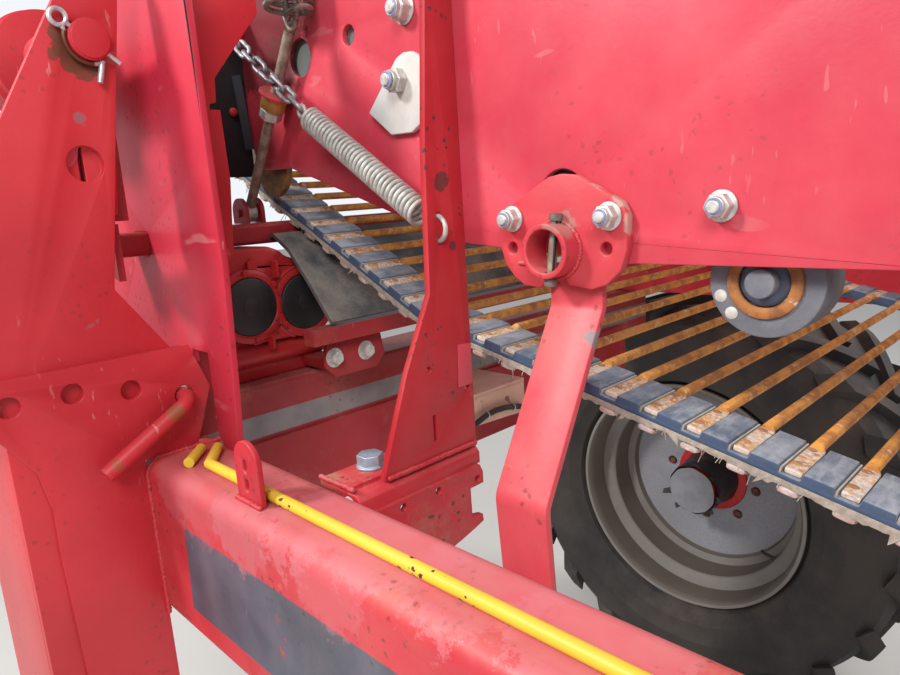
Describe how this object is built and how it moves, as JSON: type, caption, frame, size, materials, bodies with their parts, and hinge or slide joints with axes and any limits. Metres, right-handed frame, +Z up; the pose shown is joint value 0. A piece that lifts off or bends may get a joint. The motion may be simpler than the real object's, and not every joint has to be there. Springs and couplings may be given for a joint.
{
  "type": "potato harvester sieving web section",
  "caption": "Rod-link sieving web in its side plates with chassis rail, sprung end frame, gearbox and one far ground wheel, cut from a trailed potato harvester.",
  "frame": {"origin": "middle of the front face of the near chassis rail's flange", "axes": "+X forward along the rail, away from the section; +Y across the machine, from the near rail to the far wheel; +Z up"},
  "size_m": [1.5793, 2.0025, 1.652],
  "materials": {
    "red_paint": "worn gloss paint, dusty, with scratches and chips",
    "yellow_paint": "chipped paint over dark steel",
    "zinc": "dull galvanised",
    "light_casting": "light grey, dusty",
    "belt_rubber": "blue-grey worn rubber",
    "black_rubber": "satin black",
    "roller_steel": "worn bare steel",
    "rusty_steel": "bare steel with orange rust",
    "grey_paint": "matt grey, dusty",
    "tyre": "dusty black"
  },
  "bodies": {
    "frame": {"rail": "red_paint", "rail_flange": "red_paint", "yellow_rod": "yellow_paint", "rod_stub": "yellow_paint", "rail_tab": "red_paint", "pin_plate": "red_paint", "end_plate": "red_paint", "end_panel": "red_paint", "panel_flange": "red_paint", "end_rib": "red_paint", "pivot_pin": "red_paint", "pivot_boss": "red_paint", "linch_pin": "zinc", "lock_pin": "red_paint", "cross_bar": "red_paint", "lower_beam": "red_paint", "beam_skirt": "red_paint", "dust_shelf": "red_paint", "foot_bracket": "red_paint", "foot_bolt": "zinc", "post": "red_paint", "side_plate_near": "red_paint", "side_plate_far": "red_paint", "hole_liner": "belt_rubber", "curtain": "belt_rubber", "pivot_flange": "red_paint", "cross_bolt": "zinc", "side_nuts": "zinc", "arm": "red_paint", "cam_plate": "light_casting", "idlers_near": "belt_rubber", "idlers_far": "belt_rubber", "rear_idler": "rusty_steel", "front_roller": "roller_steel", "rear_roller": "roller_steel", "web_belts": "belt_rubber", "web_rods": "rusty_steel", "spring": "zinc", "chain": "zinc", "spring_lugs": "red_paint", "link_rod": "rusty_steel", "link_lug": "red_paint", "top_spring": "zinc", "gearbox": "red_paint", "gear_caps": "black_rubber", "gear_bracket": "red_paint", "tray_bar": "red_paint", "flap": "belt_rubber", "far_rail": "red_paint", "far_posts": "red_paint", "axle_beam": "red_paint", "axle_leg": "red_paint", "stub_axle": "zinc"},
    "wheel": {"hub": "red_paint", "rim": "grey_paint", "tyre": "tyre"}
  },
  "joints": [
    {"name": "wheel_turn", "type": "hinge", "parent": "frame", "child": "wheel", "pos_m": [-1.03, 1.413, -0.412], "axis": [0, 1, 0], "continuous": true}
  ]
}
